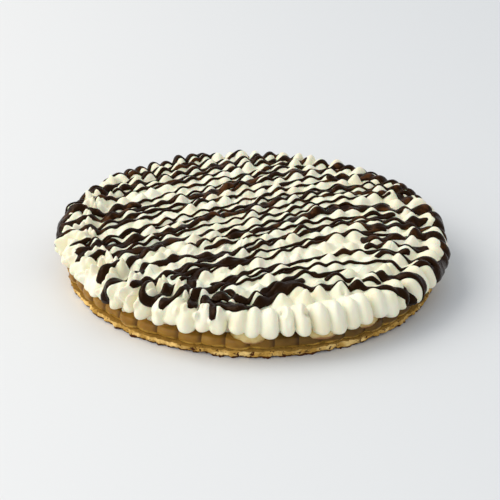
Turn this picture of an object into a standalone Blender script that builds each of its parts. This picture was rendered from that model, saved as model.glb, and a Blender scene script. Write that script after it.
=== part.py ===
"""Banoffee pie, uncut: a pressed biscuit base, a layer of caramel, banana slices round the rim,
and a thick cover of piped cream kisses with dark chocolate drizzled over them.

Metres, +Z up. The origin is the middle of the underside of the biscuit base, and every round
part is centred on the Z axis. The front of the pie faces -Y.
"""
import math

import bmesh
import bpy
import numpy as np
from mathutils import Vector
from mathutils.geometry import delaunay_2d_cdt

OBJECT_NAME = "banoffee_pie"
SEED = 7
GAP = 0.0003                      # clearance between pieces that touch
MILLIMETRE = 0.001
FRONT_SIDE = math.radians(-72)    # round here all that lies under the cream reaches further out
FRONT_GROWTH = 0.0032

# Biscuit base
BASE_RADIUS = 0.1390
BASE_HEIGHT = 0.0068
BASE_SIDES = 72
SIDE_ROWS = 3                     # rows of faces up the side of the base and of the caramel
CRUMB_DEPTH = 0.0009              # how far single crumbs stand in or out at the side
CRUMB_JITTER = 0.0006             # and up or down
FOOT_RECESS = 0.0014              # the crumbly foot draws in

# Caramel
CARAMEL_RADIUS = 0.1362
CARAMEL_TOP = 0.0145
CARAMEL_BULGE = 0.0014            # the soft side swells between its edges
FLUTES = 52
FLUTE_DEPTH = 0.0024
FLUTE_SHARES = (0.3, 1.6)         # the folds are this deep, against that depth
FLUTE_MARGIN = 1e-4               # keeps a point on a crease with the fold after it

# Banana slices, sunk a little into the caramel at the rim
SLICE_RADIUS = 0.0146
SLICE_BOTTOM = 0.0121
SLICE_THICKNESS = 0.0088
SLICE_REACH = 0.1420              # from the middle of the pie to a slice's outer edge
SLICE_SIDES = 12
SLICE_ROUNDING = 0.0013
ROUNDED_FROM = math.radians(50)   # edges at least this sharp are rounded
SLICE_AZIMUTHS = (-90, -69, -54, -20, 25, 70, 115, 140, 165)
SLICE_SHARES = (0.93, 1.0)        # their radii, against the largest

# Whipped cream: a low round bed with a rounded shoulder
CREAM_BOTTOM = CARAMEL_TOP + GAP
BED_FLAT_RADIUS = 0.128
SHOULDER_RADIUS = 0.0115
SHOULDER_CENTRE_HEIGHT = 0.020
DOME_RISE = 0.0015
SHOULDER_END = BED_FLAT_RADIUS + SHOULDER_RADIUS * math.pi / 2
BED_EDGE = SHOULDER_END + SHOULDER_CENTRE_HEIGHT - CREAM_BOTTOM

# Kisses piped on the bed in rings
KISS_PITCH = 0.0135
KISS_RINGS = 9
KISS_HEIGHT = 0.0102
KISS_HEIGHT_SHARES = (0.66, 1.06)
KISS_RADIUS = 0.0108
KISS_RADIUS_SHARES = (0.82, 1.12)
KISS_SCATTER = 0.0022
KISS_LEAN = 0.0020
MOUND_SHARE = 0.55                # a kiss is part soft mound, part cone
CONE_FULLNESS = 1.4               # 1 gives straight flanks, more gives rounder ones
TALL_SIDE = math.radians(-55)     # round here the kisses of the last inner ring are taller
TALL_GROWTH = 0.20
OUTER_SLIMNESS = 0.86
FILL = 0.0034                     # cream between the inner kisses, over the bed
FILL_END = 0.1220
FILL_FADE = 0.0120
UNION_POWER = 4                   # higher gives sharper creases between kisses
KISS_CORNERS = 4                  # mesh points round a kiss
CORNER_DISTANCE = 0.48            # from its tip, as a share of its radius

# Rim kisses, which hang down over the shoulder: a tip, and a round bulb under it
RIM_RING = 0.1350
RIM_KISSES = 77
RIM_SHIFT = 0.2                   # they stand off their even places by up to this share
RIM_HEIGHT = 0.0120
RIM_HEIGHT_SHARES = (0.86, 1.06)
RIM_HALF_WIDTH = 0.0064
RIM_WIDTH_SHARES = (0.84, 1.16)
RIM_CONE_RADIUS = 0.0085
RIM_DROP = 0.0158
RIM_DROP_SHARES = (0.74, 1.09)
RIM_SWAY = 0.0022                 # they hang a little askew
TIP_FULLNESS = 0.66               # height of a rim kiss's tip, against the kiss's
BULB_FULLNESS = 0.90
BULB_SEAT = 0.44                  # the hanging bulb's middle, as a share of the way down
BULB_RISE = 0.0105                # from its middle up to its upper end
BULB_STRAIGHT = 0.35              # this share of the bulb is as wide as its middle
BULB_FLATNESS = 2.6
BULB_ROUNDING = 0.62
SOFT_SIDE = math.radians(205)     # round here the rim kisses are small and hang less
SOFT_WIDENING = -0.12
SOFT_SHORTENING = 0.20
SOFT_LOWERING = 0.22
RIM_FLANK = 0.0036                # mesh points beside a rim kiss's middle line
MIDDLE_ROWS = (0, 0.0078, 0.0125)      # mesh points outward from the ring, along a kiss,
FLANK_ROWS = (0.0010, 0.0100)          # on both its flanks,
CREASE_ROWS = (0, 0.0110)              # and between two kisses

# Chocolate strokes, swung from the left front to the right back
STROKE_STEP = 0.001               # between the points of an unrolled centre line
FIRST_STROKE = 5
STROKES = 32
FRONT_STROKE = -0.145             # where stroke 0 would cross the middle line
STROKE_SPACING = 0.0106
CROSSING_SCATTER = 0.38           # as a share of the spacing
STROKE_SLOPE = 0.68               # rise to the back per length to the right
SLOPE_SCATTER = 0.06
BEND_START = 0.030                # the strokes turn flat to the right of this,
STROKE_BEND = 8.0                 # by this loss of slope for each metre
BEND_SHARES = (0.75, 1.25)
SWAYS = (0.0006, 0.0022)
SWAY_LENGTHS = (0.010, 0.020)
FAN_BACK = 0.014                  # in front of it the strokes are short: the runs below lie at
FAN_STARTS = (-0.070, -0.012)     # both their ends
FAN_STOP = 0.124                  # those that start further left stop further left, by a share
FAN_STOP_SHARE = 0.4
LEFT_REACHES = (0.125, 0.137)     # from the middle of the pie to a stroke's ends
RIGHT_REACHES = (0.132, 0.146)
LEFT_GAIN = 0.014                 # strokes at the back start further out
LEFT_GAIN_OVER = 0.090
HOOK_LENGTH = 0.020               # both ends of a stroke bend to the front over this length
LEFT_HOOK = 28.0
LEFT_HOOK_LOSS = 0.85             # for the strokes at the back
RIGHT_HOOKS = (2.0, 14.0)
FUSED_STROKES = (12, 16, 21)      # the thick ones, fused to the cream
FUSED_WIDTH = 0.0054
TUBE_STEP = 0.0150                # between the points of a fused tube
TUBE_SMOOTHING = 0.0045
TUBE_LIFT = 0.0006
TUBE_END = BED_EDGE - 0.0040      # the tubes stop clear of the caramel under the rim

# Thick runs with a shape of their own: width, and corners in the unrolled plane, in millimetres
RUNS = (
    (6.0, (-134, -28), (-140, -18), (-143, -5), (-141, 8), (-136, 17), (-130, 21), (-125, 15),
     (-121, 9), (-114, 11), (-107, 20), (-98, 24), (-86, 29)),
    (5.4, (-143, 24), (-141, 34), (-137, 43), (-130, 52), (-118, 57), (-104, 62), (-90, 70)),
    (6.8, (-99, -61), (-94, -53), (-85, -51), (-73, -45), (-63, -36), (-48, -30), (-37, -24),
     (-27, -21)),
    (7.0, (-105, -90), (-100, -84), (-92, -76), (-86, -66), (-77, -58), (-71, -50), (-63, -42)),
    (5.6, (-80, -87), (-78, -80), (-76, -72), (-71, -71), (-62, -70), (-56, -62), (-44, -62),
     (-30, -59), (-14, -56)),
    (5.6, (-80, -108), (-73, -99), (-64, -94), (-58, -87), (-49, -87), (-43, -79), (-34, -76),
     (-23, -72), (-12, -71), (-2, -64)),
    (6.2, (-34, -124), (-26, -127), (-17, -131), (-8, -134), (1, -130), (9, -125), (16, -116),
     (24, -107), (33, -100)),
    (6.4, (103, -95), (110, -93), (116, -92), (121, -95), (124, -101)),
    (6.2, (84, -84), (90, -81), (97, -86), (104, -81), (112, -79), (119, -80), (123, -88)),
    (5.4, (90, -55), (97, -50), (106, -46), (112, -51), (118, -56), (126, -53), (134, -54)),
    (7.8, (81, -28), (91, -25), (101, -25), (109, -26), (117, -21), (123, -15), (130, -13),
     (137, -17), (140, -26), (139, -37), (136, -47), (132, -56), (130, -64)),
    (7.6, (58, 20), (66, 25), (77, 30), (91, 29), (103, 29), (112, 27), (118, 31), (125, 34), (132, 30),
     (137, 20), (140, 8), (141, -3)),
    (5.4, (60, 84), (76, 93), (90, 96), (106, 88), (118, 72), (128, 50)),
)


def kiss_layout():
    """Centres in the unrolled plane, heights, radii and leans of the inner kisses."""
    rng = np.random.default_rng(SEED)
    rings = [np.zeros((1, 2))]
    for count in range(1, KISS_RINGS + 1):
        angles = rng.uniform(0, 2 * math.pi) + 2 * math.pi * np.arange(6 * count) / (6 * count)
        rings.append(ring_points(KISS_PITCH * count, angles))
    centres = np.vstack(rings)
    centres += rng.uniform(-KISS_SCATTER, KISS_SCATTER, centres.shape)
    heights = KISS_HEIGHT * rng.uniform(*KISS_HEIGHT_SHARES, len(centres))
    radii = KISS_RADIUS * rng.uniform(*KISS_RADIUS_SHARES, len(centres))
    leans = rng.uniform(-KISS_LEAN, KISS_LEAN, centres.shape)
    outer = centres[-6 * KISS_RINGS:]
    tall = np.clip(np.cos(np.arctan2(outer[:, 1], outer[:, 0]) - TALL_SIDE), 0, 1)
    heights[-6 * KISS_RINGS:] *= 1 + TALL_GROWTH * tall
    radii[-6 * KISS_RINGS:] *= OUTER_SLIMNESS
    return centres, heights, radii, leans


def rim_layout():
    """Azimuths, heights, half widths, hangs and sideways shifts of the rim kisses."""
    rng = np.random.default_rng(SEED + 1)
    step = 2 * math.pi / RIM_KISSES
    azimuths = step * (np.arange(RIM_KISSES) + rng.uniform(-RIM_SHIFT, RIM_SHIFT, RIM_KISSES))
    soft = np.clip(np.cos(azimuths - SOFT_SIDE), 0, 1) ** 2
    heights = RIM_HEIGHT * rng.uniform(*RIM_HEIGHT_SHARES, RIM_KISSES) * (1 - SOFT_LOWERING * soft)
    widths = RIM_HALF_WIDTH * rng.uniform(*RIM_WIDTH_SHARES, RIM_KISSES) * (1 + SOFT_WIDENING * soft)
    drops = RIM_DROP * rng.uniform(*RIM_DROP_SHARES, RIM_KISSES) * (1 - SOFT_SHORTENING * soft)
    sways = rng.uniform(-RIM_SWAY, RIM_SWAY, RIM_KISSES)
    return azimuths, heights, widths, drops, sways


def front_growth(azimuth):
    """How much further out the lower layers reach at an azimuth."""
    return FRONT_GROWTH * max(math.cos(azimuth - FRONT_SIDE), 0) ** 2


def ring_points(radius, angles):
    """Points on one ring of the unrolled plane."""
    return np.column_stack((radius * np.cos(angles), radius * np.sin(angles)))


def kiss_profile(t):
    """Height of a kiss from its axis (0) to its foot (1): a soft mound mixed with a full cone."""
    t = np.clip(t, 0, 1)
    return MOUND_SHARE * (1 + np.cos(math.pi * t)) / 2 + (1 - MOUND_SHARE) * (1 - t ** CONE_FULLNESS)


def bulb_profile(t):
    """Height of a rim kiss's hanging bulb from its middle (0) to its edge (1)."""
    return (1 - np.clip(t, 0, 1) ** BULB_FLATNESS) ** BULB_ROUNDING


def cream_relief(points):
    """Height of the cream over its bed at points (n, 2) of the unrolled plane: each kiss raised
    to a power, summed, and the root taken, which leaves creases where kisses meet."""
    rho = np.hypot(points[:, 0], points[:, 1])
    theta = np.arctan2(points[:, 1], points[:, 0])
    total = (FILL * np.clip((FILL_END - rho) / FILL_FADE, 0, 1)) ** UNION_POWER
    for centre, height, radius, lean in zip(*kiss_layout()):
        away = points - centre - lean
        distance = np.hypot(away[:, 0], away[:, 1])
        reach = radius - away @ lean / np.maximum(distance, 1e-6)
        total += (height * kiss_profile(distance / reach)) ** UNION_POWER
    for azimuth, height, width, drop, sway in zip(*rim_layout()):
        side = RIM_RING * (np.mod(theta - azimuth + math.pi, 2 * math.pi) - math.pi)
        out = rho - RIM_RING
        fall = out - BULB_SEAT * drop
        reach = np.where(fall > 0, (1 - BULB_SEAT) * drop, BULB_RISE)
        fall = np.clip(np.abs(fall) / reach - BULB_STRAIGHT, 0, None) / (1 - BULB_STRAIGHT)
        bulb = np.hypot(fall, (side - sway * out / drop) / width)
        tip = np.hypot(out, side) / RIM_CONE_RADIUS
        total += (TIP_FULLNESS * height * kiss_profile(tip)) ** UNION_POWER
        total += (BULB_FULLNESS * height * bulb_profile(bulb)) ** UNION_POWER
    return total ** (1 / UNION_POWER)


def on_bed(points, height):
    """Places in space of unrolled points, at a height over the bed.

    The distance from the middle runs out over the low dome, round the shoulder and down the side.
    """
    rho = np.hypot(points[:, 0], points[:, 1])
    theta = np.arctan2(points[:, 1], points[:, 0])
    turn = np.clip((rho - BED_FLAT_RADIUS) / SHOULDER_RADIUS, 0, math.pi / 2)
    down = np.clip(rho - SHOULDER_END, 0, None)
    flat = np.minimum(rho, BED_FLAT_RADIUS)
    dome = DOME_RISE * (1 - (flat / BED_FLAT_RADIUS) ** 2)
    radius = flat + (SHOULDER_RADIUS + height) * np.sin(turn)
    level = SHOULDER_CENTRE_HEIGHT + (SHOULDER_RADIUS + height) * np.cos(turn) + dome - down
    return np.column_stack((radius * np.cos(theta), radius * np.sin(theta), level))


def cream_points():
    """Unrolled points that carry the form: tips, corners of the kisses, and the creases."""
    centres, _, radii, leans = kiss_layout()
    rim = rim_layout()[0]
    between = (rim + np.append(rim[1:], rim[0] + 2 * math.pi)) / 2
    corner_angles = 2 * math.pi * np.arange(KISS_CORNERS) / KISS_CORNERS
    corners = [
        centre + ring_points(CORNER_DISTANCE * radius, corner_angles + index)
        for index, (centre, radius) in enumerate(zip(centres, radii))
    ]
    seats = np.vstack((centres, ring_points(RIM_RING, rim)))
    cells = delaunay_2d_cdt([Vector(seat) for seat in seats], [], [], 0, 1e-7)[2]
    creases = [seats[list(cell)].mean(axis=0) for cell in cells]
    flank = RIM_FLANK / RIM_RING
    rim_rows = [ring_points(RIM_RING + out, rim) for out in MIDDLE_ROWS]
    rim_rows += [ring_points(RIM_RING + out, rim - flank) for out in FLANK_ROWS]
    rim_rows += [ring_points(RIM_RING + out, rim + flank) for out in FLANK_ROWS]
    rim_rows += [ring_points(RIM_RING + out, between) for out in CREASE_ROWS]
    rim_rows += [ring_points(BED_EDGE, rim), ring_points(BED_EDGE, between)]
    return np.vstack([centres + leans] + corners + [creases] + rim_rows)


def cream_mesh():
    """The kisses over their bed as one closed sheet with a flat underside."""
    sites = [Vector(point) for point in cream_points()]
    flat_points, _, triangles = delaunay_2d_cdt(sites, [], [], 0, 1e-6)[:3]
    plane = np.array([tuple(point) for point in flat_points])
    surface = on_bed(plane, cream_relief(plane))
    mesh = bpy.data.meshes.new("whipped_cream")
    mesh.from_pydata(surface.tolist(), [], triangles)
    sheet = bmesh.new()
    sheet.from_mesh(mesh)
    bmesh.ops.contextual_create(sheet, geom=[edge for edge in sheet.edges if edge.is_boundary])
    bmesh.ops.recalc_face_normals(sheet, faces=sheet.faces)
    sheet.to_mesh(mesh)
    sheet.free()
    return mesh


def stroke_paths():
    """Unrolled centre lines of the strokes, a point each millimetre: shallow arcs that sway, with
    both ends bent to the front. Those at the back reach further out on the left, and those at the
    front begin near the middle."""
    rng = np.random.default_rng(SEED + 2)
    x = np.arange(-BED_EDGE, BED_EDGE, STROKE_STEP)
    paths = {}
    for index in range(FIRST_STROKE, STROKES):
        shift = rng.uniform(-CROSSING_SCATTER, CROSSING_SCATTER)
        crossing = FRONT_STROKE + STROKE_SPACING * (index + shift)
        slope = STROKE_SLOPE + rng.uniform(-SLOPE_SCATTER, SLOPE_SCATTER)
        bend = STROKE_BEND * rng.uniform(*BEND_SHARES)
        sway, length, phase = rng.uniform(*SWAYS), rng.uniform(*SWAY_LENGTHS), rng.uniform(0, 2 * math.pi)
        y = crossing + slope * x - bend * np.clip(x - BEND_START, 0, None) ** 2 / 2
        y += sway * np.sin(x / length + phase)
        backward = np.clip(crossing / LEFT_GAIN_OVER, 0, 1)
        start, stop = -BED_EDGE, BED_EDGE
        if crossing < FAN_BACK:
            start = rng.uniform(*FAN_STARTS)
            stop = FAN_STOP + FAN_STOP_SHARE * start
        left = rng.uniform(*LEFT_REACHES) + LEFT_GAIN * backward
        reach = np.where(x < 0, left, rng.uniform(*RIGHT_REACHES))
        left_hook = LEFT_HOOK * rng.uniform(0, 1) ** 2 * (1 - LEFT_HOOK_LOSS * backward)
        hook = np.where(x < 0, left_hook, rng.uniform(*RIGHT_HOOKS))
        y -= hook * np.clip(np.hypot(x, y) - reach + HOOK_LENGTH, 0, HOOK_LENGTH) ** 2
        inside = (np.hypot(x, y) < reach) & (x > start) & (x < stop)
        paths[index] = np.column_stack((x, y))[inside]
    return paths


def smooth_run(corners):
    """A run through its corner points, a point each millimetre, rounded by three corner cuts."""
    points = MILLIMETRE * np.array(corners)
    for _ in range(3):
        cut = np.repeat(points, 2, axis=0)[1:-1]
        cut[0::2] = 0.75 * points[:-1] + 0.25 * points[1:]
        cut[1::2] = 0.25 * points[:-1] + 0.75 * points[1:]
        points = np.vstack((points[:1], cut, points[-1:]))
    length = np.append(0, np.cumsum(np.hypot(*np.diff(points, axis=0).T)))
    along = np.arange(0, length[-1], STROKE_STEP)
    return np.column_stack([np.interp(along, length, points[:, axis]) for axis in (0, 1)])


def chocolate_tube(name, path, width):
    """A low-sided tube draped over the cream along an unrolled path."""
    path = path[np.hypot(path[:, 0], path[:, 1]) < TUBE_END]
    height = cream_relief(path)
    window = round(TUBE_SMOOTHING / STROKE_STEP)
    kernel = np.ones(2 * window + 1) / (2 * window + 1)
    height = np.convolve(np.pad(height, window, mode="edge"), kernel, mode="valid")
    count = max(3, round(len(path) * STROKE_STEP / TUBE_STEP) + 1)
    chosen = np.linspace(0, len(path) - 1, count).round().astype(int)
    places = on_bed(path[chosen], height[chosen] + TUBE_LIFT)
    curve = bpy.data.curves.new(name, "CURVE")
    curve.dimensions = "3D"
    curve.bevel_depth = width / 2
    curve.bevel_resolution = 0
    curve.use_fill_caps = True
    spline = curve.splines.new("POLY")
    spline.points.add(len(places) - 1)
    for point, place in zip(spline.points, places):
        point.co = (*place, 1)
    guide = bpy.data.objects.new(name, curve)
    bpy.context.scene.collection.objects.link(guide)
    bpy.context.view_layer.update()
    graph = bpy.context.evaluated_depsgraph_get()
    mesh = bpy.data.meshes.new_from_object(guide.evaluated_get(graph))
    tube = bmesh.new()
    tube.from_mesh(mesh)
    bmesh.ops.remove_doubles(tube, verts=tube.verts, dist=1e-5)
    bmesh.ops.recalc_face_normals(tube, faces=tube.faces)
    tube.to_mesh(mesh)
    tube.free()
    joined = bpy.data.objects.new(name, mesh)
    joined.matrix_world = guide.matrix_world.copy()
    bpy.data.objects.remove(guide, do_unlink=True)
    return joined


def ringed_disc(radius, bottom, top, sides):
    """A flat cylinder whose side is divided into rows of faces, as a bmesh."""
    disc = bmesh.new()
    bmesh.ops.create_cone(disc, cap_ends=True, segments=sides, radius1=radius, radius2=radius,
                          depth=top - bottom)
    bmesh.ops.translate(disc, verts=disc.verts, vec=(0, 0, (top + bottom) / 2))
    uprights = [edge for edge in disc.edges if abs(edge.verts[0].co.z - edge.verts[1].co.z) > 1e-6]
    bmesh.ops.subdivide_edges(disc, edges=uprights, cuts=SIDE_ROWS - 1, use_grid_fill=True)
    return disc


def finish_mesh(name, built):
    """Turns a bmesh into an object's mesh."""
    mesh = bpy.data.meshes.new(name)
    bmesh.ops.recalc_face_normals(built, faces=built.faces)
    built.to_mesh(mesh)
    built.free()
    return mesh


def base_mesh():
    """Pressed crumbs: a low disc with a knobbly side that draws in at the foot."""
    rng = np.random.default_rng(SEED + 3)
    disc = ringed_disc(BASE_RADIUS, 0, BASE_HEIGHT, BASE_SIDES)
    for vertex in disc.verts:
        level = vertex.co.z / BASE_HEIGHT
        shift = rng.uniform(-CRUMB_DEPTH, CRUMB_DEPTH) - FOOT_RECESS * (1 - level) ** 2
        shift += front_growth(math.atan2(vertex.co.y, vertex.co.x))
        scale = 1 + shift / BASE_RADIUS
        vertex.co.x *= scale
        vertex.co.y *= scale
        if 0.1 < level < 0.9:
            vertex.co.z += rng.uniform(-CRUMB_JITTER, CRUMB_JITTER)
    return finish_mesh("biscuit_base", disc)


def caramel_mesh():
    """Set caramel: its soft side swells and is drawn into shallow upright folds."""
    rng = np.random.default_rng(SEED + 4)
    bottom = BASE_HEIGHT + GAP
    disc = ringed_disc(CARAMEL_RADIUS, bottom, CARAMEL_TOP, 2 * FLUTES)
    depths = FLUTE_DEPTH * rng.uniform(*FLUTE_SHARES, FLUTES)
    for vertex in disc.verts:
        level = (vertex.co.z - bottom) / (CARAMEL_TOP - bottom)
        azimuth = math.atan2(vertex.co.y, vertex.co.x)
        turn = (azimuth / (2 * math.pi) % 1) * FLUTES
        fold = depths[int(turn + FLUTE_MARGIN) % FLUTES] * abs(math.sin(math.pi * turn))
        shift = CARAMEL_BULGE * math.sin(math.pi * level) + fold + front_growth(azimuth)
        scale = 1 + shift / CARAMEL_RADIUS
        vertex.co.x *= scale
        vertex.co.y *= scale
    return finish_mesh("caramel_layer", disc)


def slice_object(name, azimuth, radius, clearance):
    """A round slice of banana lying flat at the rim, or the room that one takes."""
    built = bmesh.new()
    depth = SLICE_THICKNESS + 2 * clearance
    flat_to_corner = 1 / math.cos(math.pi / SLICE_SIDES)
    size = radius + clearance * flat_to_corner
    bmesh.ops.create_cone(built, cap_ends=True, segments=SLICE_SIDES, radius1=size, radius2=size,
                          depth=depth)
    piece = bpy.data.objects.new(name, finish_mesh(name, built))
    angle = math.radians(azimuth)
    distance = SLICE_REACH + front_growth(angle) - SLICE_RADIUS
    height = SLICE_BOTTOM + SLICE_THICKNESS / 2
    piece.location = (distance * math.cos(angle), distance * math.sin(angle), height)
    piece.rotation_euler.z = angle
    return piece


def material(name, colour, roughness):
    """A plain finish: base colour and roughness."""
    finish = bpy.data.materials.new(name)
    finish.use_nodes = True
    shader = finish.node_tree.nodes["Principled BSDF"]
    shader.inputs["Base Color"].default_value = (*colour, 1)
    shader.inputs["Roughness"].default_value = roughness
    shader.inputs["Metallic"].default_value = 0
    return finish


def add_piece(piece, finish):
    """Links a piece into the object's collection with its finish."""
    piece.data.materials.append(finish)
    pie.objects.link(piece)
    return piece


def cut_pockets(piece):
    """Leaves room in a piece for the banana slices."""
    pocket = piece.modifiers.new("slice_pockets", "BOOLEAN")
    pocket.operation = "DIFFERENCE"
    pocket.operand_type = "COLLECTION"
    pocket.collection = cutters
    pocket.solver = "EXACT"


def keep_outer_shell(mesh):
    """Fills hollows that the union sealed, and drops loose scraps: only the largest shell stays."""
    shell = bmesh.new()
    shell.from_mesh(mesh)
    waiting = set(shell.faces)
    largest = set()
    while waiting:
        front = [waiting.pop()]
        group = set(front)
        while front:
            face = front.pop()
            near = {other for edge in face.edges for other in edge.link_faces} & waiting
            waiting -= near
            group |= near
            front += near
        largest = max(largest, group, key=len)
    bmesh.ops.delete(shell, geom=[face for face in shell.faces if face not in largest], context="FACES")
    shell.to_mesh(mesh)
    shell.free()


def fuse_drizzle(cream):
    """Joins all chocolate tubes to the cream with one union, and removes them."""
    drizzle = bpy.data.collections.new("drizzle")
    bpy.context.scene.collection.children.link(drizzle)
    paths = stroke_paths()
    for index in FUSED_STROKES:
        drizzle.objects.link(chocolate_tube(f"stroke_{index}", paths[index], FUSED_WIDTH))
    for number, (width, *corners) in enumerate(RUNS, start=1):
        drizzle.objects.link(chocolate_tube(f"run_{number}", smooth_run(corners), MILLIMETRE * width))
    union = cream.modifiers.new("drizzle", "BOOLEAN")
    union.operation = "UNION"
    union.operand_type = "COLLECTION"
    union.collection = drizzle
    union.solver = "EXACT"
    bpy.context.view_layer.update()
    graph = bpy.context.evaluated_depsgraph_get()
    fused = bpy.data.meshes.new_from_object(cream.evaluated_get(graph))
    keep_outer_shell(fused)
    cream.modifiers.clear()
    cream.data = fused
    for tube in list(drizzle.objects):
        bpy.data.objects.remove(tube, do_unlink=True)
    bpy.data.collections.remove(drizzle)


for old in list(bpy.data.objects):
    bpy.data.objects.remove(old, do_unlink=True)

pie = bpy.data.collections.new(OBJECT_NAME)
cutters = bpy.data.collections.new("cutters")
for group in (pie, cutters):
    bpy.context.scene.collection.children.link(group)

biscuit = material("biscuit", (0.42, 0.20, 0.055), 0.85)
caramel = material("caramel", (0.16, 0.07, 0.016), 0.35)
banana = material("banana", (0.68, 0.55, 0.25), 0.45)
whipped = material("cream", (0.90, 0.88, 0.74), 0.45)

add_piece(bpy.data.objects.new("biscuit_base", base_mesh()), biscuit)
caramel_layer = add_piece(bpy.data.objects.new("caramel_layer", caramel_mesh()), caramel)

slice_rng = np.random.default_rng(SEED + 5)
for number, azimuth in enumerate(SLICE_AZIMUTHS, start=1):
    radius = SLICE_RADIUS * slice_rng.uniform(*SLICE_SHARES)
    piece = add_piece(slice_object(f"banana_slice_{number}", azimuth, radius, 0), banana)
    rounding = piece.modifiers.new("rounded_edges", "BEVEL")
    rounding.width = SLICE_ROUNDING
    rounding.segments = 1
    rounding.limit_method = "ANGLE"
    rounding.angle_limit = ROUNDED_FROM
    room = slice_object(f"slice_room_{number}", azimuth, radius, GAP)
    room.hide_render = True
    room.display_type = "WIRE"
    cutters.objects.link(room)

cream = add_piece(bpy.data.objects.new("whipped_cream", cream_mesh()), whipped)
fuse_drizzle(cream)
cut_pockets(cream)
cut_pockets(caramel_layer)
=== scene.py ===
"""Looks of an uncut banoffee pie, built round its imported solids.

The pie goes together from the bottom up: pressed biscuit, set caramel, banana slices, piped
cream, and melted chocolate swung over it all. Metres, +Z up, the front faces -Y.
"""
import math

import bpy
import numpy as np
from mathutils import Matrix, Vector


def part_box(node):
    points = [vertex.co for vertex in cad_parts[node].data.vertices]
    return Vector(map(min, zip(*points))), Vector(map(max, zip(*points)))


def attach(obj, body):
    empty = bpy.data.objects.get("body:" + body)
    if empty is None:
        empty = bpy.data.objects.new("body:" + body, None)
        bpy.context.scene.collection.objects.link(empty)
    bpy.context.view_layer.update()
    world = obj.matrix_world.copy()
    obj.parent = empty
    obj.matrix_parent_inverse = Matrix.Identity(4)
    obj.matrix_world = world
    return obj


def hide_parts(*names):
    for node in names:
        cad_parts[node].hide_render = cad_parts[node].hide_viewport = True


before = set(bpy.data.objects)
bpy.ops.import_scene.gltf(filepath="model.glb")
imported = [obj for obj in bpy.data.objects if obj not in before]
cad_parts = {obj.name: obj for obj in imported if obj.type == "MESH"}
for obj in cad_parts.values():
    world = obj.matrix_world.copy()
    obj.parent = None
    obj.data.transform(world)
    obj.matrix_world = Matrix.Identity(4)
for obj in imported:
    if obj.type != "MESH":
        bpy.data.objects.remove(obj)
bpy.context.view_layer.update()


# Biscuit base
# Crushed biscuits bound with butter and pressed into a low round slab. Its side is knobbly and
# golden, with painted shade in the gaps between the crumbs and at its foot, and painted light on its
# left.
SEED = 7                          # each random draw is seeded with this and a number of its own
BASE_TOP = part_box("biscuit_base")[1].z
BASE_RADIUS = 0.1390
BASE_COLUMNS = 1400
BASE_ROWS = 17
BASE_FOOT = 0.0022                # the crumbly foot draws in,
FOOT_WAVER = 0.7                  # by up to this share more or less, in lumps of this size
FOOT_LUMPS = 0.0045
EDGE_RELIEF = 0.0005              # the upper edge rises and falls
EDGE_LUMPS = 0.004
TOP_INSET = 0.012                 # the last ring, on the top, lies this far in
LATTICE_ROWS = 61                 # a pattern of lumps repeats after this many of them
FRONT_SIDE = math.radians(-72)    # round here the base and the caramel reach further out
FRONT_GROWTH = 0.0032
CRUMB_SIZES = (0.0062, 0.0027, 0.0012)
CRUMB_RELIEFS = (0.0009, 0.0010, 0.0006)
BISCUIT_GOLD = (0.56, 0.32, 0.066)
BISCUIT_PALE = (0.96, 0.68, 0.26)
BISCUIT_LIT = (0.97, 0.64, 0.220)          # painted light: paler on the left, towards the lamps
# painted shade in the gaps between the crumbs and at the foot
BISCUIT_PAINTED_SHADE = (0.075, 0.020, 0.003)
BISCUIT_SMEARED = (0.28, 0.14, 0.020)      # caramel ran down over its upper edge, more
BISCUIT_STAINED = (0.27, 0.145, 0.026)     # darkly on the right
LEFT_FADE = (0.0, -0.05)          # the colours of the left side come in between these X
FOOT_SHADE_HEIGHTS = (0.0042, 0.0028)   # painted shade, dark brown, at the foot comes in between these Z, which
FOOT_WANDER = 0.004               # wander by this
SMEAR_HEIGHTS = (0.0058, 0.0066)  # and the smears at the upper edge between these
SMEAR_WANDER = 0.0015


class Shade:
    """A socket in a finish's node tree. Sums and products of shades add Math nodes."""

    def __init__(self, tree, socket=None):
        self.tree = tree
        self.socket = socket

    def node(self, kind, settings, sockets, output=0):
        """One output of a new node: its settings are made first, then its sockets are filled."""
        made = self.tree.nodes.new("ShaderNode" + kind)
        for name, value in settings.items():
            setattr(made, name, value)
        for name, value in sockets.items():
            self.fill(made.inputs[name], value)
        return Shade(self.tree, made.outputs[output])

    def fill(self, inlet, value):
        """Links a shade to a socket, or sets the socket to a number, a colour or a vector."""
        if isinstance(value, Shade):
            self.tree.links.new(value.socket, inlet)
        elif inlet.type == "RGBA":
            inlet.default_value = (*value, 1)
        else:
            inlet.default_value = value

    def maths(self, operation, first, second):
        """One Math node on two shades or numbers."""
        return self.node("Math", {"operation": operation}, {0: first, 1: second})

    def __add__(self, other):
        return self.maths("ADD", self, other)

    def __mul__(self, other):
        return self.maths("MULTIPLY", self, other)

    __radd__ = __add__
    __rmul__ = __mul__

    def between(self, low, high):
        """0 at low and under, 1 at high and over, eased between them."""
        return self.node("MapRange", {"interpolation_type": "SMOOTHSTEP"},
                         {"Value": self, "From Min": low, "From Max": high})

    def paint(self, here, there):
        """The colour here where this shade is 0, and the colour there where it is 1."""
        return self.node("Mix", {"data_type": "RGBA"}, {0: self, 6: here, 7: there}, output=2)


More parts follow.
